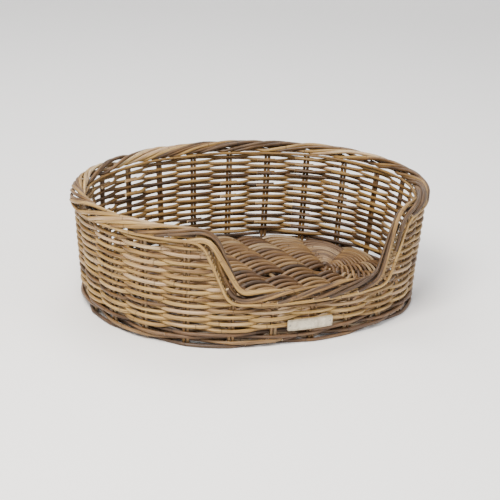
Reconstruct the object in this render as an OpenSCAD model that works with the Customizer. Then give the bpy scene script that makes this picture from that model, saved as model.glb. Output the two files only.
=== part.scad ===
// Oval wicker basket for a small dog or a cat, open on top, with a low entry cut into the front.
// Frame: millimetres, +Z up, X along the oval, -Y towards the entry, origin on the floor at the centre.
// Every rod is a solid of its own: weavers, stakes, foot, border, edge rods, base sticks, base weavers.

/* [Oval] */
// Half length of the wall's middle surface at the floor
base_half_x = 272; // [240:1:300]
// Half width of the wall's middle surface at the floor
base_half_y = 226; // [200:1:250]
// How far the wall leans out along X from the floor to the rim
flare_x = 22; // [5:1:40]
// How far the wall leans out along Y from the floor to the rim
flare_y = 17; // [5:1:40]
// Height of the wall's woven part
wall_h = 180; // [180:1:190]
// How much fuller than an ellipse the oval is at the floor
fullness = 0.045; // [0:0.005:0.08]

/* [Stakes] */
// Stake pairs around the wall
stake_pairs = 24; // [20:2:28]
// Diameter of one stake
stake_d = 4.6; // [4:0.1:5]
// Gap between the two stakes of a pair
stake_gap = 1.4; // [1:0.1:2]

/* [Weavers] */
// Rows of weaving between the foot and the border
weaver_rows = 25; // [23:1:25]
// Diameter of a weaver
weaver_d = 5.2; // [4.4:0.1:5.3]
// Height from one row to the next
row_pitch = 5.8; // [5.7:0.05:5.8]
// Height of the lowest row's centre line
first_row_z = 28.5; // [28.5:0.5:29]

/* [Foot] */
// Diameter of a foot rod
foot_d = 5.8; // [5:0.1:6.2]
// Height from one foot rod to the next
foot_pitch = 6.5; // [6.4:0.1:6.7]

/* [Border] */
// Height of the border's centre line
border_z = 183.5; // [183:0.5:190]
// Diameter of a border rod
border_d = 5.4; // [5:0.1:5.8]
// Distance of the border rods from the border's centre line
border_r = 7.2; // [6.8:0.1:7.6]
// Full turns that a border rod makes on its way round
border_turns = 6; // [4:1:8]

/* [Entry] */
// Half width of the entry at its sill, in stake spacings
entry_sill = 1.9; // [1.5:0.05:2]
// Half width of the entry at the rim, in stake spacings
entry_top = 2.5; // [2.4:0.05:3]
// Height of the sill border's centre line
sill_z = 82; // [81:0.5:84]
// How far from each corner of the entry its rounding starts
entry_round = 20; // [15:1:30]

/* [Base] */
// Diameter of a base stick
stick_d = 6; // [5:0.1:6.4]
// Diameter of a base weaver
base_weaver_d = 4.8; // [4:0.1:5]
// Rounds of weaving from the middle of the base to its edge
base_rounds = 16; // [12:2:16]
// Half length of the straight middle of the base
spine_half = 160; // [140:5:170]
// Height of the cross sticks' centre line
stick_z = 12; // [11.5:0.5:13]

/* [Label] */
// Width of the blank plate
plate_w = 78; // [50:1:80]
// Height of the blank plate
plate_h = 17; // [12:1:20]
// Thickness of the blank plate
plate_t = 1; // [0.6:0.1:1.5]
// Height of the plate's middle
label_z = 34.5; // [34.5:0.5:48]
// How far the plate sits to the left of the middle of the entry
label_left = 8; // [0:1:12]

/* [Hidden] */
ROW_NAMES = ["weaver_row_01", "weaver_row_02", "weaver_row_03", "weaver_row_04", "weaver_row_05",
    "weaver_row_06", "weaver_row_07", "weaver_row_08", "weaver_row_09", "weaver_row_10", "weaver_row_11",
    "weaver_row_12", "weaver_row_13", "weaver_row_14", "weaver_row_15", "weaver_row_16", "weaver_row_17",
    "weaver_row_18", "weaver_row_19", "weaver_row_20", "weaver_row_21", "weaver_row_22", "weaver_row_23",
    "weaver_row_24", "weaver_row_25"];
FOOT_NAMES = ["foot_rod_1", "foot_rod_2", "foot_rod_3", "foot_rod_4"];
BORDER_NAMES = ["border_rod_1", "border_rod_2", "border_rod_3", "border_rod_4", "border_rod_5",
    "border_rod_6"];
EDGE_NAMES = ["outer_edge_rod", "inner_edge_rod"];
STAKE_NAMES = ["front_stakes", "right_stakes", "back_stakes", "left_stakes"];
BASE_NAMES = ["base_weaver_1", "base_weaver_2", "base_weaver_3", "base_weaver_4", "base_weaver_5",
    "base_weaver_6", "base_weaver_7", "base_weaver_8"];
STICK_NAMES = ["base_cross_sticks", "base_long_sticks", "base_end_sticks"];
LABEL_NAMES = ["label_plate", "label_pins"];

tan_rattan = "tan";
dark_rattan = "peru";
pale_rattan = "burlywood";
play = 0.15;
stake_r = stake_d / 2;
weaver_r = weaver_d / 2;
foot_r = foot_d / 2;
stick_r = stick_d / 2;
base_weaver_r = base_weaver_d / 2;
spacing = 2 * PI * sqrt((pow(base_half_x, 2) + pow(base_half_y, 2)) / 2) / stake_pairs;
weave_out = stake_r + weaver_r + play;
foot_out = stake_r + foot_r + 3 * play;
stake_side = (stake_d + stake_gap) / 2;
wrap = 0.09;
lead_in = 0.3;
low_rows = floor((sill_z - border_r - border_d / 2 - weaver_r - first_row_z) / row_pitch) + 1;
border_reach = border_r + border_d / 2;
row_clear = border_reach + weaver_r + 1.2;
edge_r = 2.4;
edge_drop = 8;
edge_aside = 9.3;
stake_foot_z = 4;
rod_sides = 5;
pin_r = 0.9;
pin_l = 4;

// The entry lowers the front, so the oval's centre lies this far in front of the middle of the box
oval_y = (half_y(sill_z) - half_y(border_z)) / 2;
module placed() { translate([0, oval_y, 0]) children(); }

// ---- places on the wall: u counts stake spacings from the middle of the entry, out is outwards ----
function turn(u) = -90 + 360 * u / stake_pairs;
function eccentric() = (base_half_x - base_half_y) / (base_half_x + base_half_y);
function bearing(u) = turn(u) + eccentric() / 2 * sin(2 * turn(u)) * 180 / PI;
function swell(u, z) = 1 + fullness * (1 - z / wall_h) * pow(sin(2 * bearing(u)), 2);
function half_x(z) = base_half_x + flare_x * z / wall_h;
function half_y(z) = base_half_y + flare_y * z / wall_h;
function wall_point(u, z, out) = [
    (half_x(z) * swell(u, z) + out) * cos(bearing(u)),
    (half_y(z) * swell(u, z) + out) * sin(bearing(u)), z];
function unit(v) = v / norm(v);
function wall_along(u, z) = unit(wall_point(u + 0.1, z, 0) - wall_point(u - 0.1, z, 0));
function wall_out(u, z) = cross(wall_along(u, z), [0, 0, 1]);
function entry_half(z) = entry_sill + (entry_top - entry_sill) * (z - sill_z) / (border_z - sill_z);
function row_start(z) = max([for (q = edge_line(entry_sill, entry_top, border_z, sill_z))
    q[0] < stake_pairs / 2 * spacing && abs(z - q[1]) < row_clear
        ? (q[0] + sqrt(pow(row_clear, 2) - pow(z - q[1], 2))) / spacing : 0]);

// ---- a rod swept along its points; out gives each ring's outward direction ----
function along(p, i, closed) = let(n = len(p), a = closed ? (i + n - 1) % n : max(i - 1, 0),
    b = closed ? (i + 1) % n : min(i + 1, n - 1)) unit(p[b] - p[a]);
function ring(p, out, i, r, sides, closed) = let(t = along(p, i, closed), n = unit(out[i] - (out[i] * t) * t),
    b = cross(t, n))
    [for (k = [0:sides - 1]) p[i] + r * (cos(360 * k / sides) * n + sin(360 * k / sides) * b)];
function skin(n, sides, closed, first) = [for (i = [0:(closed ? n : n - 1) - 1]) for (k = [0:sides - 1])
    let(j = (i + 1) % n, m = (k + 1) % sides)
    each [[first + i * sides + k, first + j * sides + k, first + j * sides + m],
        [first + i * sides + k, first + j * sides + m, first + i * sides + m]]];
function ends(n, sides, first) = [[for (k = [0:sides - 1]) first + k],
    [for (k = [sides - 1:-1:0]) first + (n - 1) * sides + k]];
function ring_points(p, out, r, sides, closed) =
    [for (i = [0:len(p) - 1]) each ring(p, out, i, r, sides, closed)];

module rod(p, out, r, sides, closed) {
    polyhedron(ring_points(p, out, r, sides, closed),
        closed ? skin(len(p), sides, true, 0)
            : concat(skin(len(p), sides, false, 0), ends(len(p), sides, 0)));
}

// ---- foot: thick rods laid round the outside of the stakes, the lowest one flat where it stands ----
module foot_rod(i) {
    steps = 2 * stake_pairs;
    z = foot_r * sin(60) + i * foot_pitch;
    us = [for (k = [0:steps - 1]) k * stake_pairs / steps];
    color(dark_rattan)
        rod([for (u = us) wall_point(u, z, foot_out)], [for (u = us) wall_out(u, z)], foot_r, 6, true);
}

// ---- weaver rows: in front of one stake pair and behind the next, the other way round in the next row ----
function weave_side(k, row) = (k + row) % 2 == 0 ? weave_out : -weave_out;
module weaver_row(row) {
    z = first_row_z + row * row_pitch;
    closed = row < low_rows;
    after_border = row_start(z);
    first = closed ? 0 : ceil(after_border + lead_in);
    gap = max(after_border, first - 1 + 2 * wrap);
    last = closed ? stake_pairs - 1 : stake_pairs - first;
    middle = [for (k = [first:last]) each [[k - wrap, weave_side(k, row)], [k + wrap, weave_side(k, row)]]];
    path = closed ? middle : concat([[gap, 0]], middle, [[stake_pairs - gap, 0]]);
    color(row % 3 == 0 ? pale_rattan : tan_rattan)
        rod([for (q = path) wall_point(q[0], z, q[1])], [for (q = path) wall_out(q[0], z)],
            weaver_r, rod_sides, closed);
}

// ---- stakes: pairs of straight sticks that lean out with the wall ----
function stake_top(k) = let(side = min(k, stake_pairs - k))
    side < entry_half(sill_z + 2 * border_reach) + stake_side / spacing ? sill_z - border_reach - 1
    : border_z - border_reach - 1;
module stake(k, side) {
    shift = side * stake_side;
    low = wall_point(k, stake_foot_z, 0) + shift * wall_along(k, stake_foot_z);
    high = wall_point(k, stake_top(k), 0) + shift * wall_along(k, stake_foot_z);
    rise = high - low;
    translate(low)
        rotate([0, acos(rise[2] / norm(rise)), atan2(rise[1], rise[0])])
            cylinder(h = norm(rise), d = stake_d, $fn = 24);
}
module stake_group(quarter) {
    count = stake_pairs / 4;
    first = quarter * count - count / 2 + stake_pairs;
    color(dark_rattan)
        for (n = [0:count - 1], side = [-1, 1])
            stake((first + n) % stake_pairs, side);
}

sill_steps = 9;
side_steps = 6;
corner_steps = 4;
rim_steps = 48;
// ---- the line that the border follows: the rim, down one side of the entry, the sill, and up again ----
function mix(a, b, t) = a + (b - a) * t;
function corner(a, b, c, steps) = let(
    from = b + unit(a - b) * entry_round, to = b + unit(c - b) * entry_round)
    [for (i = [0:steps]) mix(mix(from, b, i / steps), mix(b, to, i / steps), i / steps)];
function run(a, b, steps) = [for (i = [1:steps - 1])
    mix(a + unit(b - a) * entry_round, b - unit(b - a) * entry_round, i / steps)];
function edge_line(sill, top, top_z, low_z) = let(
    s = spacing, round_trip = stake_pairs * s,
    a = [-sill * s, low_z], b = [sill * s, low_z], c = [top * s, top_z],
    d = [round_trip - top * s, top_z], e = [round_trip - sill * s, low_z])
    concat(run(a, b, sill_steps), corner(a, b, c, corner_steps), run(b, c, side_steps),
        corner(b, c, d, corner_steps), run(c, d, rim_steps), corner(c, d, e, corner_steps),
        run(d, e, side_steps), corner(d, e, e + (b - a), corner_steps));
function on_wall(line, out) = [for (q = line) wall_point(q[0] / spacing, q[1], out)];
function out_of(line) = [for (q = line) wall_out(q[0] / spacing, q[1])];

module border_rod(i) {
    line = edge_line(entry_sill, entry_top, border_z, sill_z);
    centre = on_wall(line, 0);
    out = out_of(line);
    n = len(centre);
    far = [for (k = 0, s = 0; k <= n; s = s + norm(centre[(k + 1) % n] - centre[k % n]), k = k + 1) s];
    wound = [for (k = [0:n - 1]) let(t = along(centre, k, true), o = unit(out[k] - (out[k] * t) * t),
        a = 60 * i - 360 * border_turns * far[k] / far[n])
        centre[k] + border_r * (cos(a) * o + sin(a) * cross(t, o))];
    color(i % 2 == 0 ? pale_rattan : tan_rattan) rod(wound, out, border_d / 2, rod_sides, true);
}

// ---- edge rods: one outside and one inside, over the weaving, just below the border all the way round ----
module edge_rod(side) {
    line = edge_line(entry_sill + edge_aside / spacing, entry_top + edge_aside / spacing,
        border_z - edge_drop, sill_z - edge_drop);
    out = side * (weave_out + weaver_r + edge_r + 3 * play);
    color(pale_rattan) rod(on_wall(line, out), out_of(line), edge_r, 4, true);
}

// ---- base: sticks crossing and fanning out, with rounds of weaving over and under them ----
base_inset = stake_r + base_weaver_r + 1;
base_x = base_half_x - base_inset;
base_y = base_half_y - base_inset;
cross_count = 7;
cross_inset = 10;
stick_end_gap = 5;
cross_step = 2 * (spine_half - cross_inset) / (cross_count - 1);
// A round at fraction f of the way out: narrow ones run straight beside the spine and turn at its ends
end_turn = 40;
function base_point(f, a, z) = let(
    quarter = abs(((a + 180) % 360) - 180),
    theta = quarter < end_turn ? 90 * quarter / end_turn
        : quarter > 180 - end_turn ? 90 + 90 * (quarter - 180 + end_turn) / end_turn : 90,
    slide = quarter < end_turn ? 1 : quarter > 180 - end_turn ? -1
        : 1 - 2 * (quarter - end_turn) / (180 - 2 * end_turn),
    long = f * (base_x - spine_half), wide = f * base_y, full = 1 + fullness * f * pow(sin(2 * a), 2),
    narrow_round = [spine_half * slide + long * cos(theta), wide * sin(theta) * (a % 360 < 180 ? 1 : -1)],
    oval_round = full * [(spine_half + long) * cos(a), wide * sin(a)],
    p = mix(narrow_round, oval_round, f)) [p[0], p[1], z];
module base_weaver(i) {
    steps = 30;
    color(i % 2 == 0 ? tan_rattan : dark_rattan)
        for (n = [1, 2]) {
            f = (2 * i + n) / base_rounds;
            z = stick_z + (n == 1 ? 1 : -1) * (stick_r + base_weaver_r + play);
            p = [for (k = [0:steps - 1]) base_point(f, 360 * k / steps, z)];
            rod(p, [for (k = [0:steps - 1]) cross(along(p, k, true), [0, 0, 1])],
                base_weaver_r, rod_sides, true);
        }
}
module base_cross_sticks() {
    color(dark_rattan)
        for (n = [0:cross_count - 1]) {
            x = -spine_half + cross_inset + n * cross_step;
            reach = base_y * sqrt(1 - pow(x / base_x, 2)) - stick_end_gap;
            translate([x, reach, stick_z]) rotate([90, 0, 0]) cylinder(h = 2 * reach, r = stick_r, $fn = 24);
        }
}

module base_long_sticks() {
    step = 2 * stick_d;
    color(dark_rattan)
        for (n = [-1:1])
            translate([-spine_half, n * step, stick_z - stick_d - play])
                rotate([0, 90, 0]) cylinder(h = 2 * spine_half, r = stick_r, $fn = 24);
}
end_sticks = 5;
end_fan = 32;
end_start = 14;
module base_end_sticks() {
    color(dark_rattan)
        for (end = [0, 180], n = [0:end_sticks - 1]) {
            a = (n - (end_sticks - 1) / 2) * end_fan;
            p = spine_half - cross_inset;
            qa = pow(cos(a) / base_x, 2) + pow(sin(a) / base_y, 2);
            qb = p * cos(a) / pow(base_x, 2);
            reach = (sqrt(pow(qb, 2) - qa * (pow(p / base_x, 2) - 1)) - qb) / qa - stick_end_gap;
            rotate([0, 0, end]) translate([p, 0, stick_z]) rotate([0, 90, a])
                translate([0, 0, end_start]) cylinder(h = reach - end_start, r = stick_r, $fn = 24);
        }
}

// ---- label: a blank plate bent to the wall, pinned to the weaving over the middle stake pair ----
plate_r = pow(half_x(label_z), 2) / half_y(label_z);
plate_face = half_y(label_z + plate_h / 2) + weave_out + weaver_r + play;
pin_out = plate_w / 2 - 4;
pin_head_r = 1.8;
pin_head_t = 0.8;
pin_gap = 0.2;
pin_hole_r = pin_r + 0.1;
module label_plate() {
    color("silver")
        difference() {
            translate([0, plate_r - plate_face, label_z - plate_h / 2])
                rotate([0, 0, -90 - (plate_w / 2 + label_left) / plate_r * 180 / PI])
                    rotate_extrude(angle = plate_w / plate_r * 180 / PI, $fn = 180)
                        translate([plate_r, 0]) square([plate_t, plate_h]);
            for (side = [-1, 1])
                pin_place(side) translate([0, 0, -plate_t])
                    cylinder(h = 3 * plate_t, r = pin_hole_r, $fn = 24);
        }
}
module pin_place(side) {
    translate([0, plate_r - plate_face, label_z])
        rotate([0, 0, (side * pin_out - label_left) / plate_r * 180 / PI]) translate([0, -plate_r, 0])
            rotate([90, 0, 0]) children();
}
module label_pins() {
    color("gray")
        for (side = [-1, 1])
            pin_place(side) union() {
                translate([0, 0, plate_t + pin_gap]) cylinder(h = pin_head_t, r = pin_head_r, $fn = 24);
                translate([0, 0, plate_t - pin_l])
                    cylinder(h = pin_l + pin_gap + pin_head_t / 2, r = pin_r, $fn = 24);
            }
}

for (i = [0:len(FOOT_NAMES) - 1]) placed() foot_rod(i);
placed() base_cross_sticks();
placed() base_long_sticks();
placed() base_end_sticks();
for (i = [0:len(BASE_NAMES) - 1]) placed() base_weaver(i);
for (i = [0:len(STAKE_NAMES) - 1]) placed() stake_group(i);
for (i = [0:len(ROW_NAMES) - 1]) placed() weaver_row(i);
placed() edge_rod(1);  // outer_edge_rod
placed() edge_rod(-1);  // inner_edge_rod
for (i = [0:len(BORDER_NAMES) - 1]) placed() border_rod(i);
placed() label_plate();
placed() label_pins();
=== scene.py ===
# %% [markdown]
# # A wicker pet basket
# The real basket is woven from round rattan rods. Pairs of upright stakes stand round an oval base,
# thin weavers pass in front of one pair and behind the next, thick rods make the foot, and a rope-like
# border closes the rim and runs down into the entry. Every rod here is a tube swept along the line
# that the real rod takes, because a texture of a weave has no gaps to see through.

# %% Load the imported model
import math

import bpy
import numpy as np
from mathutils import Matrix, Vector


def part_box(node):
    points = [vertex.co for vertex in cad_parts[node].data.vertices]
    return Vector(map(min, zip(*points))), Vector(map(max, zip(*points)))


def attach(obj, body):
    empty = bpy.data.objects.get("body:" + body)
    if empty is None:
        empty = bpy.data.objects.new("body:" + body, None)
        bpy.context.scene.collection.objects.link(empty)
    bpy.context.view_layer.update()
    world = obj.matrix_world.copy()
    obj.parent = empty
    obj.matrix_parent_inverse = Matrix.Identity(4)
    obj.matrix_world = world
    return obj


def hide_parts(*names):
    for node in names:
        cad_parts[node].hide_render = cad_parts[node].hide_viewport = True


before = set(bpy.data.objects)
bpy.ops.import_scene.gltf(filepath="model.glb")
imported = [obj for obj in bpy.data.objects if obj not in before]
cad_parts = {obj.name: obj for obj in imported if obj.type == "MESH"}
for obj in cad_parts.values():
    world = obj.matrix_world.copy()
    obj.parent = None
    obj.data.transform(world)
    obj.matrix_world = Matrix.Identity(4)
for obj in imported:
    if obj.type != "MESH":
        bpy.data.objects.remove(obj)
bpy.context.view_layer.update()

# %% [markdown]
# ## The camera
# The camera stands low and far away, a little to the left of the entry, so the oval keeps its shape
# and the bed of the basket shows through the entry. A long lens gives that flat view.

# %% Camera
MM = 0.001                           # one millimetre, in Blender's metres
VIEW_LEFT = math.radians(26.85)      # how far left of the entry's middle the camera stands
VIEW_ABOVE = math.radians(19.54)     # how far above the floor
VIEW_ROLL = math.radians(2.62)
VIEW_DISTANCE = 2.64
VIEW_LENS = 113.3
VIEW_TARGET = Vector((-0.0031, -0.0123, 0.0774))
FARTHEST_SEEN = 40.0

camera_data = bpy.data.cameras.new("camera")
camera_data.lens = VIEW_LENS
camera_data.clip_end = FARTHEST_SEEN
camera = bpy.data.objects.new("camera", camera_data)
bpy.context.scene.collection.objects.link(camera)
towards_camera = Vector((
    -math.sin(VIEW_LEFT) * math.cos(VIEW_ABOVE),
    -math.cos(VIEW_LEFT) * math.cos(VIEW_ABOVE),
    math.sin(VIEW_ABOVE)))
turned = (towards_camera.to_track_quat("Z", "Y").to_matrix().to_4x4()
          @ Matrix.Rotation(VIEW_ROLL, 4, "Z"))
camera.matrix_world = Matrix.Translation(VIEW_TARGET + VIEW_DISTANCE * towards_camera) @ turned
bpy.context.scene.camera = camera
print("camera at", [round(v, 3) for v in camera.location])

# %% [markdown]
# ## The oval wall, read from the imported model
# The wall leans out from the floor to the rim. The foot's lowest rod gives the oval at the floor and the
# top row of weaving gives it near the rim, so the wall made here follows the solid model's wall.
# A place on the wall is named by three numbers: how many stakes round from the middle of the entry, how
# high, and how far out from the wall's middle.

# %% Sizes of the wall, in millimetres
STAKES = 24              # pairs of stakes round the base
STAKE_R = 2.75
WEAVER_R = 2.95
WEAVE_OUT = 5.3          # from the wall's middle to a weaver's, in front of a pair or behind it
FULLNESS = 0.045         # how much fuller than an oval the floor is between its long and short axes
WALL_H = 180.0           # height over which the lean is given
# How a hand-made wall drifts in and out: size, waves round it, start, and height per radian of turn
HAND_DRIFT = ((0.9, 2, 1, math.inf), (0.6, 5, 0, 40), (0.4, 11, 0, -25))
FOOT_REACH = 8.55        # from the wall's middle to the outer side of a foot rod
ROW_REACH = 7.65         # from the wall's middle to the outer side of a weaver
ROWS = sorted(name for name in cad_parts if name.startswith("weaver_row_"))


def box_mm(node):
    """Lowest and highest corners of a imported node, in millimetres."""
    return [np.array(corner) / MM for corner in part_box(node)]


def middle_height(node):
    low, high = box_mm(node)
    return (low[2] + high[2]) / 2


foot_low, foot_high = box_mm("foot_rod_1")
top_low, top_high = box_mm(ROWS[-1])
OVAL_Y = (foot_low[1] + foot_high[1]) / 2
FLOOR_X = (foot_high[0] - foot_low[0]) / 2 - FOOT_REACH
FLOOR_Y = (foot_high[1] - foot_low[1]) / 2 - FOOT_REACH
LEAN_X = ((top_high[0] - top_low[0]) / 2 - ROW_REACH - FLOOR_X) * WALL_H / middle_height(ROWS[-1])
LEAN_Y = (top_high[1] - OVAL_Y - ROW_REACH - FLOOR_Y) * WALL_H / middle_height(ROWS[-1])
SPACING = 2 * math.pi * math.sqrt((FLOOR_X ** 2 + FLOOR_Y ** 2) / 2) / STAKES
print("oval at the floor %.1f x %.1f, lean %.1f and %.1f, stakes every %.1f mm"
      % (FLOOR_X, FLOOR_Y, LEAN_X, LEAN_Y, SPACING))


# %% A place on the wall
def wall_at(u, z, out=0.0):
    """Points at u stakes round from the entry, height z and distance out, in millimetres."""
    u, z, out = np.broadcast_arrays(np.asarray(u, float), np.asarray(z, float), np.asarray(out, float))
    turn = np.radians(-90 + 360 * u / STAKES)
    bearing = turn + (FLOOR_X - FLOOR_Y) / (FLOOR_X + FLOOR_Y) / 2 * np.sin(2 * turn)
    swell = 1 + FULLNESS * (1 - z / WALL_H) * np.sin(2 * bearing) ** 2
    hand = sum(size * np.sin(waves * turn + start + z / rise) for size, waves, start, rise in HAND_DRIFT)
    reach_x = (FLOOR_X + LEAN_X * z / WALL_H) * swell + out + hand
    reach_y = (FLOOR_Y + LEAN_Y * z / WALL_H) * swell + out + hand
    return np.stack([reach_x * np.cos(bearing), OVAL_Y + reach_y * np.sin(bearing), z], -1)


def unit(vectors):
    return vectors / np.linalg.norm(vectors, axis=-1, keepdims=True)


def wall_out(u, z):
    """Level directions out of the wall at those places, from its course a little to each side."""
    near = 0.05
    along = wall_at(np.asarray(u) + near, z) - wall_at(np.asarray(u) - near, z)
    return unit(np.cross(along, [0.0, 0.0, 1.0]))


def eased(x):
    """0 below 0, 1 above 1, and a soft S between."""
    x = np.clip(x, 0.0, 1.0)
    return x * x * (3 - 2 * x)


# %% [markdown]
# ## Sweeping a rod
# Curves with a round bevel would give tubes too, but nothing could be stored on them for the finish. So
# a ring of corners is carried along each path in mesh code. The ring is turned so that its first corner
# always looks out of the wall, which stops the tube from twisting. Rattan is cut with shears, so each end
# gets one smaller ring and a flat face. Three attributes go to the finish: where a point is along and
# across its own rod, the rod's tone with any painted shade along it, and whether the point is on a cut end.

# %% Rod builder
CUT_LENGTH = 0.25        # length of the crushed edge at a cut end, in rod radii
CUT_WIDTH = 0.82         # width of the cut face, in rod widths
GRAIN_ROOM = 9000.0      # each rod takes its grain from a random place in this many millimetres
rng = np.random.default_rng(11)


class Bundle:
    """Collects swept rods that become one mesh."""

    def __init__(self, name, sides=8):
        self.name = name
        self.sides = sides
        self.parts = {"points": [], "grain": [], "tone": [], "cut": []}
        self.faces = []
        self.corners = 0

    def rod(self, path, out, radius, tone):
        """Adds one rod: its path in millimetres, its outward directions, and its radius and tone, which
        are one value or one for each point."""
        along = unit(np.gradient(path, axis=0))
        side = unit(out - (out * along).sum(1, keepdims=True) * along)
        radius, tone = (np.broadcast_to(np.asarray(v, float), len(path)) for v in (radius, tone))
        tone = np.concatenate([tone[:1], tone, tone[-1:]])
        path = np.vstack([path[:1] - along[:1] * CUT_LENGTH * radius[0], path,
                          path[-1:] + along[-1:] * CUT_LENGTH * radius[-1]])
        along, side = (np.vstack([v[:1], v, v[-1:]]) for v in (along, side))
        radius = np.concatenate([[radius[0] * CUT_WIDTH], radius, [radius[-1] * CUT_WIDTH]])
        angle = np.arange(self.sides) * 2 * math.pi / self.sides
        wheel = (np.cos(angle)[None, :, None] * side[:, None]
                 + np.sin(angle)[None, :, None] * np.cross(along, side)[:, None])
        length = np.concatenate([[0.0], np.cumsum(np.linalg.norm(np.diff(path, axis=0), axis=1))])
        grain = np.empty(wheel.shape)
        grain[..., 0] = (length + rng.uniform(0, GRAIN_ROOM))[:, None]
        grain[..., 1] = radius[:, None] * np.cos(angle)
        grain[..., 2] = radius[:, None] * np.sin(angle)
        cut = np.zeros(wheel.shape[:2])
        cut[[0, -1]] = 1.0
        self.parts["points"].append((path[:, None] + radius[:, None, None] * wheel).reshape(-1, 3))
        self.parts["grain"].append(grain.reshape(-1, 3))
        self.parts["tone"].append(np.repeat(tone, self.sides))
        self.parts["cut"].append(cut.ravel())
        self.skin(len(path))

    def skin(self, rings):
        """Joins the rings with quads and closes the two ends."""
        grid = self.corners + np.arange(rings * self.sides).reshape(rings, self.sides)
        after = np.roll(grid, -1, axis=1)
        quads = np.stack([grid[:-1], after[:-1], after[1:], grid[1:]], -1).reshape(-1, 4)
        self.faces += quads.tolist() + [grid[0][::-1].tolist(), grid[-1].tolist()]
        self.corners += rings * self.sides

    def build(self, material, slot, *nodes):
        """Makes the mesh object, gives it its finish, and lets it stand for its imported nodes."""
        mesh = bpy.data.meshes.new(self.name)
        joined = {name: np.concatenate(values) for name, values in self.parts.items()}
        mesh.from_pydata((joined["points"] * MM).tolist(), [], self.faces)
        grain = mesh.attributes.new("grain_at", "FLOAT_VECTOR", "POINT")
        grain.data.foreach_set("vector", (joined["grain"] * MM).ravel())
        for name in ("tone", "cut"):
            mesh.attributes.new(name, "FLOAT", "POINT").data.foreach_set("value", joined[name])
        mesh.polygons.foreach_set("use_smooth", [len(face) == 4 for face in self.faces])
        mesh.materials.append(material)
        mesh.update()
        piece = bpy.data.objects.new(self.name, mesh)
        bpy.context.scene.collection.objects.link(piece)
        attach(piece, "root")
        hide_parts(*nodes)
        return piece


# %% [markdown]
# ## Rattan
# Kubu rattan is steeped in mud and left with its thin skin on. That gives a satin surface with long fine
# streaks, a colour that runs from grey and pinkish beige through khaki to umber, darker joints where the
# leaves grew, and no two rods alike. The side of each rod that faces in or down is darkened as painted
# shade, and a cut end shows the pale pith.

# %% Colour and node helpers
def linear(hex_code):
    """An sRGB hex colour as the linear values that Blender's sockets take."""
    values = [int(hex_code[i:i + 2], 16) / 255 for i in (1, 3, 5)]
    return tuple(v / 12.92 if v <= 0.04045 else ((v + 0.055) / 1.055) ** 2.4 for v in values) + (1.0,)


def add_node(tree, kind, settings=None, inputs=()):
    """Adds one node: its properties, then its sockets, by name or in their order on the node. A socket gets
    a value, or a link from another node's socket."""
    made = tree.nodes.new(kind)
    for name, value in (settings or {}).items():
        setattr(made, name, value)
    for name, value in inputs.items() if isinstance(inputs, dict) else enumerate(inputs):
        if isinstance(value, bpy.types.NodeSocket):
            tree.links.new(value, made.inputs[name])
        else:
            made.inputs[name].default_value = value
    return made


def set_ramp(ramp, stops):
    """Gives a colour ramp its (position, sRGB hex) stops."""
    elements = ramp.color_ramp.elements
    elements[0].position, elements[1].position = stops[0][0], stops[-1][0]
    elements[0].color, elements[1].color = linear(stops[0][1]), linear(stops[-1][1])
    for position, hex_code in stops[1:-1]:
        elements.new(position).color = linear(hex_code)
    return ramp.outputs["Color"]


# %% Sizes and colours in the skin
# Real streaks are a few tenths of a millimetre wide, too fine to show, so they are drawn coarser
STREAK = (45 * MM, 0.9 * MM)         # length and width of a streak in the skin
STREAK_RANGE, STREAK_DEPTH = (0.36, 0.66), 0.9
PATCH = (70 * MM, 16 * MM)           # length and width of a patch of colour
PATCH_SHIFT = 0.17                   # how far a patch moves its rod's tone
JOINT_EVERY = 135 * MM               # between two leaf joints on one rod
JOINT_WIDE = 0.012                   # width of a joint's dark ring, in joint distances
JOINT_DEPTH, JOINT_RAISED = 0.7, 1.2 # how dark a joint is, and how far it stands up, in streak heights
# Painted shade: each rod is darkened across its width, towards the side that faces into the wall or down
PAINTED_SHADE_FROM, PAINTED_SHADE_FULL = 1.0 * MM, -2.6 * MM     # across a rod, from its outer half to its inner side
PAINTED_SHADE_DEPTH = 0.4
ROUGHNESS = (0.42, 0.64)             # satin between the streaks, duller in them
BUMP_STRENGTH, BUMP_HEIGHT = 0.55, 0.5 * MM
# The second brown is the colour of the painted shade on each rod's inner side
MUD, INNER_SIDE_PAINTED_SHADE, JOINT_BROWN, PITH = "#6B5038", "#8C6F4E", "#5A422C", "#C9B08A"
RATTAN_IOR = 1.5
MULTIPLY = {"data_type": "RGBA", "blend_type": "MULTIPLY"}
REPLACE = {"data_type": "RGBA", "blend_type": "MIX"}
MIX_FACTOR, MIX_A, MIX_B, MIX_RESULT = 0, 6, 7, 2     # a colour Mix node's sockets


# %% Noise along a rod
def noise_along(tree, grain, size, detail):
    """Noise stretched along the rod, with its length and width in metres."""
    at = add_node(tree, "ShaderNodeVectorMath", {"operation": "MULTIPLY"},
                  {0: grain, 1: (1 / size[0], 1 / size[1], 1 / size[1])}).outputs["Vector"]
    return add_node(tree, "ShaderNodeTexNoise", inputs={
        "Vector": at, "Scale": 1.0, "Detail": detail, "Roughness": 0.62}).outputs["Fac"]


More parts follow.
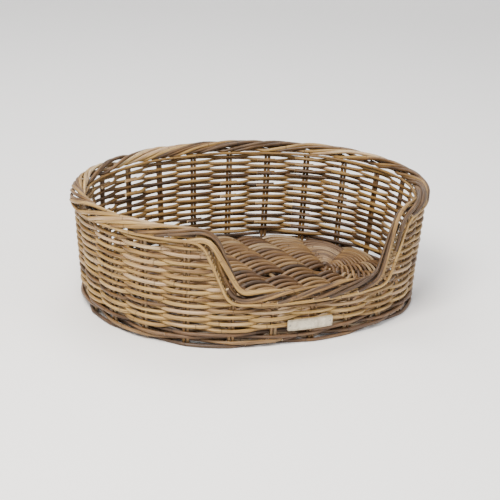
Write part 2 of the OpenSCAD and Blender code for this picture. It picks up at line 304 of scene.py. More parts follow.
# %% Rattan material
def rattan(name, tones):
    """Unpeeled kubu rattan in these tones, from dark to pale."""
    material = bpy.data.materials.new(name)
    material.use_nodes = True
    tree = material.node_tree
    shader = tree.nodes["Principled BSDF"]
    grain = add_node(tree, "ShaderNodeAttribute", {"attribute_name": "grain_at"}).outputs["Vector"]
    tone = add_node(tree, "ShaderNodeAttribute", {"attribute_name": "tone"}).outputs["Fac"]
    cut = add_node(tree, "ShaderNodeAttribute", {"attribute_name": "cut"}).outputs["Fac"]
    streak = noise_along(tree, grain, STREAK, 5.0)
    patch = noise_along(tree, grain, PATCH, 3.0)
    drift = add_node(tree, "ShaderNodeMapRange", inputs=(patch, 0.3, 0.7, -PATCH_SHIFT, PATCH_SHIFT))
    place = add_node(tree, "ShaderNodeMath", {"operation": "ADD", "use_clamp": True},
                     (tone, drift.outputs["Result"]))
    skin = set_ramp(add_node(tree, "ShaderNodeValToRGB", inputs={"Fac": place.outputs["Value"]}), tones)
    muddy = add_node(tree, "ShaderNodeMapRange", inputs=(streak, *STREAK_RANGE, 0.0, STREAK_DEPTH))
    parts = add_node(tree, "ShaderNodeSeparateXYZ", inputs=(grain,))
    # Painted shade: the side of each rod that faces in or down is darkened
    painted_inner_shade = add_node(tree, "ShaderNodeMapRange",
                      inputs=(parts.outputs["Y"], PAINTED_SHADE_FROM, PAINTED_SHADE_FULL, 0.0, PAINTED_SHADE_DEPTH))
    turns = add_node(tree, "ShaderNodeMath", {"operation": "DIVIDE"}, (parts.outputs["X"], JOINT_EVERY))
    near = add_node(tree, "ShaderNodeMath", {"operation": "PINGPONG"}, (turns.outputs["Value"], 0.5))
    joint = add_node(tree, "ShaderNodeMapRange", inputs=(near.outputs["Value"], 0.0, JOINT_WIDE, 1.0, 0.0))
    joint = joint.outputs["Result"]
    dark = add_node(tree, "ShaderNodeMath", {"operation": "MULTIPLY"}, (joint, JOINT_DEPTH))
    for blend, factor, colour in ((MULTIPLY, muddy.outputs["Result"], MUD),
                                  (MULTIPLY, painted_inner_shade.outputs["Result"], INNER_SIDE_PAINTED_SHADE),
                                  (MULTIPLY, dark.outputs["Value"], JOINT_BROWN),
                                  (REPLACE, cut, PITH)):
        mixed = add_node(tree, "ShaderNodeMix", blend,
                         {MIX_FACTOR: factor, MIX_A: skin, MIX_B: linear(colour)})
        skin = mixed.outputs[MIX_RESULT]
    height = add_node(tree, "ShaderNodeMath", {"operation": "MULTIPLY_ADD"}, (joint, JOINT_RAISED, streak))
    bump = add_node(tree, "ShaderNodeBump", inputs={
        "Strength": BUMP_STRENGTH, "Distance": BUMP_HEIGHT, "Height": height.outputs["Value"]})
    rough = add_node(tree, "ShaderNodeMapRange", inputs=(streak, 0.35, 0.7, *ROUGHNESS))
    tree.links.new(skin, shader.inputs["Base Color"])
    tree.links.new(rough.outputs["Result"], shader.inputs["Roughness"])
    tree.links.new(bump.outputs["Normal"], shader.inputs["Normal"])
    shader.inputs["IOR"].default_value = RATTAN_IOR
    return material


# %% The basket's five rattans
# Weathered rods are khaki with grey and pinkish beige, for what light reaches. The browner copy of that range
# is painted shade, for what lies low or inside.
WEATHERED = [(0.0, "#513A20"), (0.2, "#7D5C31"), (0.45, "#AD8A4C"), (0.65, "#BD9C5E"), (0.83, "#C3A37C"),
             (1.0, "#D2BA8A")]
BROWNER_PAINTED_SHADE = [(0.0, "#46311C"), (0.3, "#715231"), (0.6, "#967548"), (0.82, "#A58C69"), (1.0, "#BAA384")]
wall_rattan = rattan("kubu_rattan_weavers", WEATHERED)
foot_rattan = rattan("kubu_rattan_foot", BROWNER_PAINTED_SHADE)
border_rattan = rattan("kubu_rattan_border", WEATHERED)
base_rattan = rattan("kubu_rattan_base", BROWNER_PAINTED_SHADE)
stick_rattan = rattan("kubu_rattan_sticks", BROWNER_PAINTED_SHADE)
print("rattans made:", len(bpy.data.materials))

# %% [markdown]
# ## The entry's outline
# The border is one closed line: along the rim, down one side of the entry, along the sill and up again.
# It is laid out flat first, as distance round the wall and height, with its four corners rounded. Weaving
# rows that would cross the entry stop at this line.

# %% The line under the border
SILL_HALF = 1.9          # half width of the entry at its sill, in stakes
RIM_HALF = 2.5           # half width of the entry at the rim, in stakes
CORNER = 20.0            # how far from each corner its rounding starts
BORDER_REACH = 9.9       # from the border's line to the outer side of its packed rods
ROW_END = 10.6           # how far from the border's line a weaving row ends
STEP = 2.0               # distance between two points on the line
CORNER_POINTS = 9
RIM_Z = box_mm("border_rod_1")[1][2] - BORDER_REACH
SILL_Z = 82.0            # height of the border's line along the sill


def edge_line(aside=0.0, drop=0.0):
    """The border's line as (distance round, height), moved aside and down, with even steps."""
    sill, top = SILL_HALF * SPACING + aside, RIM_HALF * SPACING + aside
    whole, low, high = STAKES * SPACING, SILL_Z - drop, RIM_Z - drop
    corners = np.array([[-sill, low], [sill, low], [top, high], [whole - top, high], [whole - sill, low],
                        [whole + sill, low]])
    t = np.linspace(0, 1, CORNER_POINTS)[:, None]
    points = [np.array([[0.0, low]])]
    for before, at, after in zip(corners, corners[1:], corners[2:]):
        start, end = at + CORNER * unit(before - at), at + CORNER * unit(after - at)
        points.append((1 - t) ** 2 * start + 2 * t * (1 - t) * at + t ** 2 * end)
    rough = np.concatenate(points + [np.array([[whole, low]])])
    far = np.concatenate([[0], np.cumsum(np.linalg.norm(np.diff(rough, axis=0), axis=1))])
    even = np.linspace(0, far[-1], round(far[-1] / STEP) + 1)
    return np.stack([np.interp(even, far, rough[:, 0]), np.interp(even, far, rough[:, 1])], 1)


BORDER_LINE = edge_line()


def row_start(z):
    """How many stakes from the middle of the entry a row at height z starts; 0 under the entry."""
    first_half = BORDER_LINE[:, 0] < STAKES / 2 * SPACING
    right = BORDER_LINE[first_half & (abs(BORDER_LINE[:, 1] - z) < ROW_END)]
    if len(right) == 0:
        return 0.0
    return float(np.max(right[:, 0] + np.sqrt(ROW_END ** 2 - (z - right[:, 1]) ** 2)) / SPACING)


print("border line: %d points, rim at %.1f, sill at %.1f" % (len(BORDER_LINE), RIM_Z, SILL_Z))

# %% [markdown]
# ## Weaving rows
# A weaver passes in front of one pair of stakes and behind the next, the other way round in the row above.
# A soft wave gives that line, flattened a little where the rod lies against a pair. No rod is long enough
# for a whole round: each row has three, and a new one starts behind a pair, beside the old one's end.

# %% How a weaver runs
FLATTENED = 0.65         # below 1, a weaver stays longer against a pair and crosses over more quickly
BEAT_FROM, BEAT_OVER = 28, 142       # lowest height where rows are uneven, and how far up from there
BEAT_SLOW, BEAT_QUICK = 1.3, 0.9     # how far rows rise and dip, in 3 and in 7 waves round the wall


def woven(u, row):
    """How far out a weaver lies: in front of a pair where u + row is even."""
    wave = np.cos(math.pi * (u + row))
    return WEAVE_OUT * np.sign(wave) * np.abs(wave) ** FLATTENED


def beaten_down(u, z):
    """How unevenly the rows were beaten down, none of it at the foot and the border."""
    room = np.sin(math.pi * np.clip((z - BEAT_FROM) / BEAT_OVER, 0, 1))
    slow, quick = np.sin(u * math.pi / 4 + 1), np.sin(u * 7 * math.pi / 12 + z / 30)
    return room * (BEAT_SLOW * slow + BEAT_QUICK * quick)


def painted_shade_tone(tone, out, depth=0.16):
    """Painted shade: a rod is made darker where it lies inside the wall, behind a pair of stakes."""
    return np.clip(tone - depth * eased(0.5 - out / (2 * WEAVE_OUT)), 0.02, 0.98)


def wobble(u, size):
    """A slow random drift, for a hand-laid line."""
    slow = np.sin(u * rng.uniform(0.5, 1.1) + rng.uniform(0, 6))
    return size * (slow + 0.6 * np.sin(u * 2.3 + rng.uniform(0, 6)))


def tone_of(middle, spread):
    """One rod's random tone, from 0, the darkest of its rattan, to 1, the palest."""
    return float(np.clip(rng.normal(middle, spread), 0.04, 0.97))


# %% Lay the weaving rows
PER_STAKE = 10           # points on a weaver from one pair of stakes to the next
RODS_IN_ROW = 3
START_LAP, END_LAP = 0.2, 0.25       # how far past its pair a rod's start and end go, in stakes
TUCK = 5.2               # how far in an old end is pushed by the new rod's start
TUCK_AT, TUCK_OVER = 0.6, 0.35       # how long before the pair it starts to go in, and how quickly
EDGE_EASE = 0.4          # over how many stakes a weaver comes to the wall's middle beside the entry
WEAVER_SPREAD, WEAVER_THIN, WEAVER_THICK = 0.26, 2.5, 3.4      # radius: spread, least and most
WEAVER_UNEVEN, WEAVER_WAVER = 0.1, 0.45      # drift of one rod's radius and of its height
WEAVER_TONE = (0.5, 0.2)


def behind(near, row):
    """The pair of stakes nearest to a place where this row's weaver lies inside."""
    pair = round(near)
    return pair if (pair + row) % 2 else pair + 1


def lay_row(name):
    row = ROWS.index(name)
    height = middle_height(name)
    start = row_start(height)
    bundle = Bundle(name + "_rods")
    if start == 0:
        first = behind(rng.uniform(2, STAKES), row)
        cuts = [first + i * STAKES // RODS_IN_ROW for i in range(RODS_IN_ROW + 1)]
    else:
        inner = [behind(start + (STAKES - 2 * start) * (i + rng.uniform(-0.25, 0.25)) / RODS_IN_ROW, row)
                 for i in range(1, RODS_IN_ROW)]
        cuts = [start] + inner + [STAKES - start]
    for i, (a, b) in enumerate(zip(cuts, cuts[1:])):
        joins = (start == 0 or i > 0, start == 0 or i < RODS_IN_ROW - 1)
        low, high = a - START_LAP * joins[0], b + END_LAP * joins[1]
        u = np.linspace(low, high, round((high - low) * PER_STAKE) + 1)
        out = woven(u, row) - TUCK * joins[1] * eased((u - b + TUCK_AT) / TUCK_OVER)
        if start:
            out *= eased((u - start + 0.05) / EDGE_EASE) * eased((STAKES - start - u + 0.05) / EDGE_EASE)
        radius = (np.clip(rng.normal(WEAVER_R, WEAVER_SPREAD), WEAVER_THIN, WEAVER_THICK)
                  + wobble(u, WEAVER_UNEVEN))
        z = height + beaten_down(u, height) + wobble(u, WEAVER_WAVER)
        # The weaver's tone gets painted shade where it lies behind a pair
        bundle.rod(wall_at(u, z, out), wall_out(u, z), radius, painted_shade_tone(tone_of(*WEAVER_TONE), out))
    return bundle.build(wall_rattan, "wall_rattan", name)


row_pieces = [lay_row(name) for name in ROWS]
print("weaving rows:", len(row_pieces), "with", sum(len(p.data.polygons) for p in row_pieces), "faces")

# %% [markdown]
# ## Stakes
# The stakes are straight sticks in pairs. They start between the foot rods, lean out with the wall, and end
# under the border. Those in the entry are cut under the sill.

# %% Stand the stakes
STAKE_ASIDE = 3.0        # from the middle of a pair to a stake's own middle
STAKE_FOOT = 4.0
UNDER_BORDER = 10.9      # from the border's line down to a stake's top
PAIRS_IN_GROUP = 6
SHORT_EACH_SIDE = 2      # pairs cut short on each side of the entry's middle one
STAKE_TONE = (0.6, 0.18)


def stand_stakes(name, first):
    bundle = Bundle(name.replace("stakes", "stake_sticks"))
    for k in range(first, first + PAIRS_IN_GROUP):
        in_entry = min(k % STAKES, -k % STAKES) <= SHORT_EACH_SIDE
        top = (SILL_Z if in_entry else RIM_Z) - UNDER_BORDER
        for side in (-1, 1):
            z = np.linspace(STAKE_FOOT, top, 7)
            u = np.full(7, float(k))
            out = wall_out(u, z)
            along = np.cross([0.0, 0.0, 1.0], out)
            path = wall_at(u, z) + side * STAKE_ASIDE * along
            bundle.rod(path, out, STAKE_R, tone_of(*STAKE_TONE))
    return bundle.build(stick_rattan, "stick_rattan", name)


for first, name in zip((-3, 3, 9, 15), ("front_stakes", "right_stakes", "back_stakes", "left_stakes")):
    stand_stakes(name, first)
print("stakes: %d pairs" % STAKES)

# %% [markdown]
# ## Foot
# The foot is a wale of four thick rods. Each passes in front of two pairs and behind one, a pair further on
# than the rod below it, so the foot looks like a slanting rope. It must not sink into the floor.

# %% Lay the foot rods
FOOT_R = 2.95
FOOT_OUT = 5.4
FOOT_LAP = 0.15          # how far past its pair each end of a rod goes, in stakes
FOOT_TUCK = 3.0
# The foot's low middle tone is painted shade at the bottom of the wall, and the last number is how much
# painted shade a rod gets where it lies inside
FOOT_TONE_WITH_PAINTED_SHADE, FOOT_PAINTED_SHADE = (0.22, 0.16), 0.2


def lay_foot(i):
    name = "foot_rod_%d" % (i + 1)
    bundle = Bundle("foot_wale_%d" % (i + 1), 10)
    level = middle_height(name)
    first = rng.uniform(8, 14)
    for n in range(2):
        low, high = first + n * STAKES / 2 - FOOT_LAP, first + (n + 1) * STAKES / 2 + FOOT_LAP
        u = np.linspace(low, high, round((high - low) * PER_STAKE) + 1)
        wave = np.clip(1 / 3 + 4 / 3 * np.cos(2 * math.pi * (u - i - 0.5) / 3), -1.0, 1.05)
        out = FOOT_OUT * wave - FOOT_TUCK * eased((u - high + 0.5) / 0.4)
        radius = FOOT_R + wobble(u, 0.06)
        z = np.maximum(level + wobble(u, 0.25), radius * 1.02 + 0.05)
        # Painted shade: the foot's tone is kept low, and lower still where a rod lies inside
        tone = painted_shade_tone(tone_of(*FOOT_TONE_WITH_PAINTED_SHADE), out, FOOT_PAINTED_SHADE)
        bundle.rod(wall_at(u, z, out), wall_out(u, z), radius, tone)
    return bundle.build(foot_rattan, "foot_rattan", name)


for i in range(4):
    lay_foot(i)
print("foot: 4 rods")

# %% [markdown]
# ## Border
# The border is a rope made as it is laid: every few centimetres a group of rods starts inside, climbs over
# the line and ends outside, under the next group. Going round the line and along it together gives the
# slanting strokes of the rim. Down the sides of the entry the rods turn more slowly and lie nearly side by
# side. The solid model's six rods stand for these groups, which are shared out among the six pieces.

# %% Directions along the border's line
line_u, line_z = BORDER_LINE[:, 0] / SPACING, BORDER_LINE[:, 1]
line_at = wall_at(line_u, line_z)
line_out = wall_out(line_u, line_z)
line_along = unit(np.gradient(line_at, axis=0))
line_out = unit(line_out - (line_out * line_along).sum(1, keepdims=True) * line_along)
line_up = np.cross(line_out, line_along)
steepness = eased(np.abs(line_along[:, 2]) * 1.3)        # 0 on the rim and the sill, 1 on the sides
SIDE_TURN = 0.5                                          # how slowly rods turn on the sides
line_length = np.linalg.norm(np.diff(line_at, axis=0), axis=1)
turned_by = np.concatenate([[0], np.cumsum(line_length * (1 - (1 - SIDE_TURN) * steepness[1:]))])
total_turn = turned_by[-1]
print("border: %.0f mm round, %.0f mm of it in turning length" % (line_length.sum(), total_turn))


def on_line(values, t):
    """Values along the line at turning distances t, the line being closed."""
    t = np.mod(t, total_turn)
    return np.stack([np.interp(t, turned_by, values[:, i]) for i in range(values.shape[1])], -1)


# %% Wind the border rods
GROUP_EVERY = 70.0       # between two groups, in turning length
GROUP_LONG, LONG_SPREAD = 222.0, 14.0        # one rod's length in turning length, and its spread
LAG = 22.0               # from one rod to the next in a group
THIRD_ROD = 0.3          # share of the groups that have three rods, the others having two
ANGLE_FROM, ANGLE_TO = math.radians(240), math.radians(-34)      # from inside, over the top, to outside
ROD_POINTS = 44
LOOSE_AT, LOOSE_BY = 18.2, 3.5   # on the left the rods stand off in loose loops: where, and how far
WIND = (8.8, 9.2)        # how far out and up a rod winds on the rim and the sill
WIND_SIDE = (6.6, 10.6)  # the same on the sides of the entry
RISE, TIP = 0.14, 0.12   # shares of a rod in which it leaves the core and lifts off at its end
TIP_LIFT = 1.8
UNDERSIDE_PAINTED_SHADE, ENTRY_DARKENING = 0.3, 0.16        # painted shade under the rods, and how much darker they are made round the entry
BORDER_THIN, BORDER_THICK = 2.6, 3.35    # least and most radius
BORDER_TONE, ROD_TONE_SPREAD = (0.38, 0.2), 0.22     # a group's tone, and how its rods differ
BORDER_PIECES = 6
border_bundles = [Bundle("border_group_%d" % (i + 1), 10) for i in range(BORDER_PIECES)]
group_count = round(total_turn / GROUP_EVERY)


def wind_rod(bundle, start, length, radius, tone):
    """One border rod, which runs back along the line from start while it goes over it."""
    share = np.linspace(0, 1, ROD_POINTS)
    t = start - share * length
    angle = ANGLE_FROM + (ANGLE_TO - ANGLE_FROM) * share + wobble(share * 6, 0.07)
    out, up = on_line(line_out, t), on_line(line_up, t)
    side = np.interp(np.mod(t, total_turn), turned_by, steepness)
    from_core = 0.25 + 0.75 * eased(share / RISE)
    stand_off = TIP_LIFT * eased((share - (1 - TIP)) / TIP) + wobble(share * 8, 0.7) + rng.normal(0, 0.6)
    here = np.interp(np.mod(t, total_turn), turned_by, line_u)
    stand_off += LOOSE_BY * rng.random() * np.exp(-((here - LOOSE_AT) / 0.9) ** 2)
    reach_out = (WIND[0] + (WIND_SIDE[0] - WIND[0]) * side) * from_core + stand_off
    reach_up = (WIND[1] + (WIND_SIDE[1] - WIND[1]) * side) * from_core + stand_off
    path = (on_line(line_at, t) + (reach_out * np.cos(angle))[:, None] * out
            + (reach_up * np.sin(angle))[:, None] * up)
    # Painted shade darkens the underside of each rod, and the rods round the entry are made darker too
    painted_shade_and_entry_darkening = UNDERSIDE_PAINTED_SHADE * eased((-np.sin(angle) - 0.1) / 0.8)
    painted_shade_and_entry_darkening += ENTRY_DARKENING * eased(3 - np.minimum(here, STAKES - here))
    from_line = np.cos(angle)[:, None] * out + np.sin(angle)[:, None] * up
    bundle.rod(path, from_line, radius, np.clip(tone - painted_shade_and_entry_darkening, 0.02, 1))


for j in range(group_count):
    start = (j + 0.5 + rng.uniform(-0.08, 0.08)) * total_turn / group_count
    tone = tone_of(*BORDER_TONE)
    for n in range(3 if rng.random() < THIRD_ROD else 2):
        length = GROUP_LONG + rng.uniform(-LONG_SPREAD, LONG_SPREAD)
        radius = rng.uniform(BORDER_THIN, BORDER_THICK)
        rod_tone = float(np.clip(tone + rng.normal(0, ROD_TONE_SPREAD), 0.05, 0.97))
        wind_rod(border_bundles[j % BORDER_PIECES], start - n * LAG, length, radius, rod_tone)
for i, bundle in enumerate(border_bundles):
    bundle.build(border_rattan, "border_rattan", "border_rod_%d" % (i + 1))
print("border: %d groups, %d rods" % (group_count, sum(len(b.parts["points"]) for b in border_bundles)))

# %% [markdown]
# ## Edge rods
# Under the border lies one rod outside and one inside. They cover the ends of the weaving rows and turn down
# the sides of the entry with the border.

# %% Lay the edge rods
EDGE_OUT = 10.5          # from the wall's middle, out or in
EDGE_DROP = 8.0          # below the border's line
EDGE_ASIDE = 9.3         # from the border's line to the side, in the entry
EDGE_R = 2.4
EDGE_LAP = 8             # points by which the end passes the start
EDGE_TUCK = 3.6
EDGE_TONE = (0.5, 0.05)


def lay_edge(name, side):
    bundle = Bundle(name + "_length", 10)
    line = edge_line(EDGE_ASIDE, EDGE_DROP)
    half = len(line) // 2
    line = np.vstack([line[half:-1] - [STAKES * SPACING, 0], line[:half + EDGE_LAP]])
    u, z = line[:, 0] / SPACING, line[:, 1] + wobble(line[:, 0] / SPACING, 0.25)
    out = side * (EDGE_OUT - EDGE_TUCK * eased((u - u[-1] + 0.4) / 0.3))
    bundle.rod(wall_at(u, z, out), wall_out(u, z), EDGE_R, tone_of(*EDGE_TONE))
    return bundle.build(border_rattan, "border_rattan", name)


lay_edge("outer_edge_rod", 1)
lay_edge("inner_edge_rod", -1)
print("edge rods: 2")

# %% [markdown]
# ## Base
# The base is woven flat and a little crowned, so that it stands clear of the floor. Sticks cross over a
# spine of three and fan out at the two ends. The weavers go round over one stick and under the next, the
# other way round in the next turn. Where the turns crowd at the ends the rods are thinner.

# %% The shape of the base
SPINE = 160.0            # half length of the straight middle
CROSS_END = 150.0        # where the outermost cross sticks lie
CROSS_EVERY = 50.0
FAN_FIRST, FAN_EVERY = 26.0, 32.0    # degrees from a cross stick to the first fan stick, and between two
STICK_Z = 12.0
INSIDE_WALL = 5.7        # from the wall's middle to the edge of the base
BASE_X, BASE_Y = FLOOR_X - INSIDE_WALL, FLOOR_Y - INSIDE_WALL
END_TURN = 40.0          # degrees of a narrow turn that go round the spine's end
CROWN = 7.0              # how much higher the middle of the base is than its edge


def crowned(x, y):
    return STICK_Z + CROWN * np.clip(1 - (x / BASE_X) ** 2 - (y / BASE_Y) ** 2, 0, 1)


def base_point(f, degrees):
    """x and y of a turn at fraction f of the way out: beside the spine when narrow, an oval when wide."""
    degrees = np.mod(degrees, 360)
    quarter = np.abs(np.mod(degrees + 180, 360) - 180)
    right, left = quarter < END_TURN, quarter > 180 - END_TURN
    past_left = 90 + 90 * (quarter - 180 + END_TURN) / END_TURN
    theta = np.where(right, 90 * quarter / END_TURN, np.where(left, past_left, 90))
    slide = np.where(right, 1, np.where(left, -1, 1 - 2 * (quarter - END_TURN) / (180 - 2 * END_TURN)))
    theta, a = np.radians(theta), np.radians(degrees)
    long, wide = f * (BASE_X - SPINE), f * BASE_Y
    full = 1 + FULLNESS * f * np.sin(2 * a) ** 2
    narrow = np.array([SPINE * slide + long * np.cos(theta),
                       wide * np.sin(theta) * np.where(degrees < 180, 1, -1)])
    oval = full * np.array([(SPINE + long) * np.cos(a), wide * np.sin(a)])
    return narrow * (1 - f) + oval * f


def stick_count(x, y):
    """How many sticks round from the right end a place on the base is."""
    across = 3 + (CROSS_END - x) / CROSS_EVERY
    fan = np.degrees(np.arctan2(np.abs(y), np.abs(x) - CROSS_END))
    fan = np.where(fan < 90 - FAN_FIRST, fan / FAN_EVERY, 2 + (fan - 90 + FAN_FIRST) / FAN_FIRST)
    end = np.where(x > 0, fan, 12 - fan)
    half = np.where(np.abs(x) < CROSS_END, across, end)
    return np.where(y >= 0, half, 24 - half)


# %% Weave the base
ROUNDS = 26
BASE_PIECES = 8
BASE_WAVE = 6.3          # how far a weaver rises over a stick
BASE_FLATTENED = 0.8
SIDE_R, END_R = 3.9, 2.5 # radius along the sides, and at the crowded ends
SIDE_SPREAD = (0.93, 1.05)
ROUND_TURN, ROUND_POINTS = 364, 260      # degrees that a rod goes, a little over one round
BASE_TUCK, BASE_TUCK_AT, BASE_TUCK_OVER = 0.8, 355, 6    # down, from how many degrees, and over how many
BASE_TONE = (0.5, 0.24)
base_bundles = [Bundle("base_round_%d" % (i + 1)) for i in range(BASE_PIECES)]
for n in range(ROUNDS):
    f = (n + 1) / ROUNDS
    first = rng.uniform(0, 360)
    degrees = np.linspace(first, first + ROUND_TURN, ROUND_POINTS)
    x, y = base_point(f, degrees)
    beside = eased(np.abs(y) / (f * BASE_Y) * 1.1)       # 1 along the sides, 0 at the ends
    radius = END_R + (SIDE_R - END_R) * beside * rng.uniform(*SIDE_SPREAD)
    wave = np.cos(math.pi * (stick_count(x, y) + n))
    over = BASE_WAVE * np.sign(wave) * np.abs(wave) ** BASE_FLATTENED
    z = crowned(x, y) + over + wobble(degrees / 30, 0.25)
    z -= BASE_TUCK * eased((degrees - first - BASE_TUCK_AT) / BASE_TUCK_OVER)
    path = np.stack([x, OVAL_Y + y, z], 1)
    up = np.tile([0.0, 0.0, 1.0], (len(path), 1))
    piece = min(BASE_PIECES - 1, n * BASE_PIECES // ROUNDS)
    base_bundles[piece].rod(path, up, radius, tone_of(*BASE_TONE))
for i, bundle in enumerate(base_bundles):
    bundle.build(base_rattan, "base_rattan", "base_weaver_%d" % (i + 1))
print("base: %d rounds in %d pieces" % (ROUNDS, BASE_PIECES))

# %% Lay the base sticks
STICK_R = 3.0
STICK_END_GAP = 5.0
STICK_POINTS = 16
STICK_TONE = (0.4, 0.2)
SPINE_STEP = 12.0        # between two long sticks
SPINE_DROP = 2 * STICK_R + 0.15      # the long sticks lie just under the cross sticks
FAN_START = 14.0         # from the outermost cross stick to where a fan stick starts


def lay_stick(bundle, start, end, lift=0.0):
    """A stick from start to end, given as (x, y), that follows the crown."""
    t = np.linspace(0, 1, STICK_POINTS)[:, None]
    x, y = ((1 - t) * np.array(start) + t * np.array(end)).T
    path = np.stack([x, OVAL_Y + y, crowned(x, y) + lift], 1)
    bundle.rod(path, np.tile([0.0, 0.0, 1.0], (len(path), 1)), STICK_R, tone_of(*STICK_TONE))


def reach(start_x, angle):
    """How far a stick can go from (start_x, 0) at an angle before the edge of the base."""
    a = (math.cos(angle) / BASE_X) ** 2 + (math.sin(angle) / BASE_Y) ** 2
    b = start_x * math.cos(angle) / BASE_X ** 2
    return (math.sqrt(b * b - a * ((start_x / BASE_X) ** 2 - 1)) - b) / a - STICK_END_GAP


cross_sticks, long_sticks, end_sticks = (
    Bundle(name) for name in ("cross_stick_set", "spine_stick_set", "fan_stick_set"))
for i in range(-3, 4):
    x = i * CROSS_EVERY
    lay_stick(cross_sticks, (x, -reach(x, math.pi / 2)), (x, reach(x, math.pi / 2)))
for i in (-1, 0, 1):
    lay_stick(long_sticks, (-SPINE, i * SPINE_STEP), (SPINE, i * SPINE_STEP), -SPINE_DROP)
for end in (1, -1):
    for i in range(-2, 3):
        angle = math.radians(i * FAN_EVERY)
        ends = [(end * (CROSS_END + far * math.cos(angle)), far * math.sin(angle))
                for far in (FAN_START, reach(CROSS_END, angle))]
        lay_stick(end_sticks, *ends)
cross_sticks.build(stick_rattan, "stick_rattan", "base_cross_sticks")
long_sticks.build(stick_rattan, "stick_rattan", "base_long_sticks")
end_sticks.build(stick_rattan, "stick_rattan", "base_end_sticks")
print("base sticks: 7 across, 3 along, 10 in the fans")

# %% [markdown]
# ## Label
# A small plate of stamped aluminium is pinned to the weaving. It has rounded corners and a narrow raised
# rim, and it is bent to the wall. It starts as a flat box, gets its corners bevelled and its face inset,
# is cut into strips along its length and is then bent. It is left blank.

# %% Two metals
# Real rolling lines are hundredths of a millimetre wide, too fine to show, so they are drawn coarser
MILL_LINE = (12 * MM, 0.4 * MM)      # length and width
DULL_PATCH = (9 * MM, 9 * MM)
DULL_DEPTH, DULL_ROUGHER = 0.55, 0.18
TARNISH = "#94897A"


def metal(name, hex_code, roughness, metallic):
    """Metal with rolling lines along X, and patches that have gone dull."""
    material = bpy.data.materials.new(name)
    material.use_nodes = True
    tree = material.node_tree
    shader = tree.nodes["Principled BSDF"]
    place = add_node(tree, "ShaderNodeTexCoord").outputs["Object"]
    lines = noise_along(tree, place, MILL_LINE, 3.0)
    dull = noise_along(tree, place, DULL_PATCH, 4.0)
    tarnished = add_node(tree, "ShaderNodeMapRange", inputs=(dull, 0.4, 0.7, 0.0, DULL_DEPTH))
    colour = add_node(tree, "ShaderNodeMix", MULTIPLY, {
        MIX_FACTOR: tarnished.outputs["Result"], MIX_A: linear(hex_code), MIX_B: linear(TARNISH)})
    tree.links.new(colour.outputs[MIX_RESULT], shader.inputs["Base Color"])
    rougher = add_node(tree, "ShaderNodeMapRange",
                       inputs=(dull, 0.35, 0.7, roughness, roughness + DULL_ROUGHER))
    tree.links.new(rougher.outputs["Result"], shader.inputs["Roughness"])
    bump = add_node(tree, "ShaderNodeBump", inputs={"Strength": 0.2, "Distance": 0.05 * MM, "Height": lines})
    tree.links.new(bump.outputs["Normal"], shader.inputs["Normal"])
    shader.inputs["Metallic"].default_value = metallic
    return material


# Aluminium left in the open gets a chalky, yellowish skin that hides more than half of its mirror, so it
# reads as a pale patch with a soft sheen.
plate_metal = metal("aged_aluminium_plate", "#CFC5B0", 0.45, 0.4)
# Zinc plating stays grey and bright, so the small heads catch the light.
pin_metal = metal("zinc_plated_pins", "#A9A59C", 0.36, 0.9)
print("metals:", plate_metal.name, pin_metal.name)


# %% Helpers for pieces made with operators
def select_only(obj):
    """Selects this object alone, with nothing selected in its mesh."""
    bpy.ops.object.select_all(action="DESELECT")
    obj.select_set(True)
    bpy.context.view_layer.objects.active = obj
    bpy.ops.object.mode_set(mode="EDIT")
    bpy.ops.mesh.select_all(action="DESELECT")
    bpy.ops.object.mode_set(mode="OBJECT")


def finish_piece(obj, name, material, slot, *nodes):
    """Names a piece, gives it its finish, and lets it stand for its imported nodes."""
    obj.name = obj.data.name = name
    obj.data.materials.clear()
    obj.data.materials.append(material)
    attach(obj, "root")
    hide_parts(*nodes)


# %% Where the plate lies
PLATE_W, PLATE_H, PLATE_T = 78 * MM, 17 * MM, 1 * MM
plate_low, plate_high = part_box("label_plate")
plate_z = (plate_low[2] + plate_high[2]) / 2
half_x = FLOOR_X + LEAN_X * plate_z / MM / WALL_H
half_y = FLOOR_Y + LEAN_Y * plate_z / MM / WALL_H
bend_r = half_x ** 2 / half_y * MM   # how round the front of an oval is
plate_x = bend_r * (math.asin(plate_low[0] / bend_r) + math.asin(plate_high[0] / bend_r)) / 2
print("plate: %.1f mm off the middle, bent to %.0f mm" % (plate_x / MM, bend_r / MM))

# %% Round the plate's corners
PLATE_CORNER, CORNER_SEGMENTS = 2 * MM, 5
bpy.ops.mesh.primitive_cube_add(size=1, calc_uvs=False)
plate = bpy.context.active_object
plate.data.transform(Matrix.Diagonal((PLATE_W, PLATE_T, PLATE_H, 1)))
select_only(plate)
for edge in plate.data.edges:
    a, b = (plate.data.vertices[i].co for i in edge.vertices)
    edge.select = abs(a.y - b.y) > PLATE_T / 2
bpy.ops.object.mode_set(mode="EDIT")
bpy.ops.mesh.select_mode(type="EDGE")
bpy.ops.mesh.bevel(offset=PLATE_CORNER, segments=CORNER_SEGMENTS, affect="EDGES")
bpy.ops.mesh.select_all(action="DESELECT")
bpy.ops.object.mode_set(mode="OBJECT")
print("plate with round corners: %d faces" % len(plate.data.polygons))

# %% Sink its face inside a narrow rim
RIM_WIDE, RIM_STEP = 1.1 * MM, 0.3 * MM
for face in plate.data.polygons:
    face.select = face.normal.y < -0.9
bpy.ops.object.mode_set(mode="EDIT")
bpy.ops.mesh.select_mode(type="FACE")
bpy.ops.mesh.inset(thickness=RIM_WIDE)
bpy.ops.mesh.inset(thickness=RIM_STEP, depth=-RIM_STEP)
bpy.ops.object.mode_set(mode="OBJECT")
print("plate with a rim: %d faces" % len(plate.data.polygons))

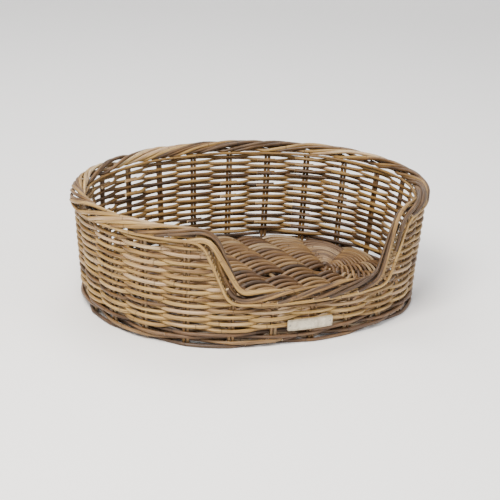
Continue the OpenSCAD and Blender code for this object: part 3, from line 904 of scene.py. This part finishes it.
# %% Bend it to the wall
STRIPS, STRIP_SPAN = 24, 0.97        # strips along the plate, and the share of its length that they take
SOFT_EDGE = 0.15 * MM
bpy.ops.object.mode_set(mode="EDIT")
for i in range(1, STRIPS):
    bpy.ops.mesh.select_all(action="SELECT")
    bpy.ops.mesh.bisect(plane_co=((i / STRIPS - 0.5) * PLATE_W * STRIP_SPAN, 0, 0), plane_no=(1, 0, 0))
bpy.ops.object.mode_set(mode="OBJECT")
for vertex in plate.data.vertices:
    turn, depth = (vertex.co.x + plate_x) / bend_r, bend_r - vertex.co.y - PLATE_T / 2
    front = plate_low[1] + bend_r - depth * math.cos(turn)
    vertex.co = (depth * math.sin(turn), front, plate_z + vertex.co.z)
bevel = plate.modifiers.new("soft_edges", "BEVEL")
bevel.width, bevel.segments = SOFT_EDGE, 2
bevel.limit_method, bevel.angle_limit = "ANGLE", math.radians(40)
bpy.ops.object.modifier_apply(modifier="soft_edges")
bpy.ops.object.shade_smooth_by_angle(angle=math.radians(35))
finish_piece(plate, "label_plate_blank", plate_metal, "label_metal", "label_plate")
print("plate: %d faces" % len(plate.data.polygons))

# %% Shape the two pins
PIN_AT = PLATE_W / 2 - 4 * MM        # from the plate's middle to a pin
HEAD_R, HEAD_T = 1.9 * MM, 1.1 * MM
bpy.ops.object.select_all(action="DESELECT")
heads = []
for side in (-1, 1):
    bpy.ops.mesh.primitive_uv_sphere_add(radius=HEAD_R, segments=20, ring_count=12, calc_uvs=False)
    head = bpy.context.active_object
    head.data.transform(Matrix.Diagonal((1, HEAD_T / HEAD_R, 1, 1)))
    turn = (side * PIN_AT + plate_x) / bend_r
    front = plate_low[1] + bend_r * (1 - math.cos(turn))
    place = Matrix.Translation((bend_r * math.sin(turn), front, plate_z))
    head.data.transform(place @ Matrix.Rotation(turn, 4, "Z"))
    bpy.ops.object.shade_smooth()
    heads.append(head)
bpy.ops.object.select_all(action="DESELECT")
for head in heads:
    head.select_set(True)
bpy.ops.object.join()
finish_piece(bpy.context.active_object, "label_pin_heads", pin_metal, "pin_metal", "label_pins")
print("pins: 2 domed heads")

# %% [markdown]
# ## Floor and light
# A pale floor runs up into a pale wall with no line between them. The key light stands high in front on the
# left, a wider and weaker one fills from the right, and a third one behind brightens the rim. The bright room
# does the rest, so shadows stay soft and the gaps in the weave still read as dark.

# %% Floor
FLOOR_HALF = 6.0         # half the floor's width, and how far it comes forward
BACK_AT, BACK_HIGH = 4.0, 5.0        # how far back the wall stands, and its height
BEND = 1.5               # radius of the curve between them
bpy.ops.mesh.primitive_grid_add(x_subdivisions=2, y_subdivisions=60, size=2, calc_uvs=False)
floor = bpy.context.active_object
turn_back = Matrix.Rotation(-math.atan2(-towards_camera.x, -towards_camera.y), 4, "Z")
for vertex in floor.data.vertices:
    along = (vertex.co.y + 1) / 2 * (FLOOR_HALF + BACK_AT + BACK_HIGH) - FLOOR_HALF
    flat_end = BACK_AT - BEND
    turn = min(max((along - flat_end) / BEND, 0.0), math.pi / 2)
    past = max(along - flat_end - BEND * math.pi / 2, 0.0)
    y = min(along, flat_end) + BEND * math.sin(turn)
    z = BEND * (1 - math.cos(turn)) + past
    vertex.co = turn_back @ Vector((vertex.co.x * FLOOR_HALF, y, z))
bpy.ops.object.shade_smooth()
floor.name = "studio_floor"
# Matt white paper scatters light evenly, so the shadow on it stays soft and nothing is mirrored.
paper = bpy.data.materials.new("matt_white_paper")
paper.use_nodes = True
paper_shader = paper.node_tree.nodes["Principled BSDF"]
paper_shader.inputs["Base Color"].default_value = linear("#FBFAF9")
paper_shader.inputs["Roughness"].default_value = 0.9
floor.data.materials.append(paper)
print("floor: %d faces" % len(floor.data.polygons))


# %% Lights
AIM = Vector((0, 0, 0.1))            # the middle of the basket, which the lights look at


def add_light(name, left, above, distance, size, power, hex_code):
    """A square area light that looks at the basket; left and above are degrees."""
    left, above = math.radians(left), math.radians(above)
    data = bpy.data.lights.new(name, "AREA")
    data.size, data.energy, data.color = size, power, linear(hex_code)[:3]
    light = bpy.data.objects.new(name, data)
    where = Vector((-math.sin(left) * math.cos(above), -math.cos(left) * math.cos(above), math.sin(above)))
    light.matrix_world = (Matrix.Translation(where * distance + AIM)
                          @ where.to_track_quat("Z", "Y").to_matrix().to_4x4())
    bpy.context.scene.collection.objects.link(light)


add_light("key", left=50, above=52, distance=2.4, size=1.0, power=100, hex_code="#FFF9F0")
add_light("fill", left=-45, above=28, distance=2.8, size=2.0, power=26, hex_code="#FAFAFF")
add_light("back", left=190, above=60, distance=2.4, size=1.2, power=30, hex_code="#FFFFFF")
world = bpy.data.worlds.new("bright_room")
world.use_nodes = True
background = world.node_tree.nodes["Background"]
background.inputs["Color"].default_value = linear("#F5F6F8")
background.inputs["Strength"].default_value = 0.9
bpy.context.scene.world = world
print("lights: 3 and the room")
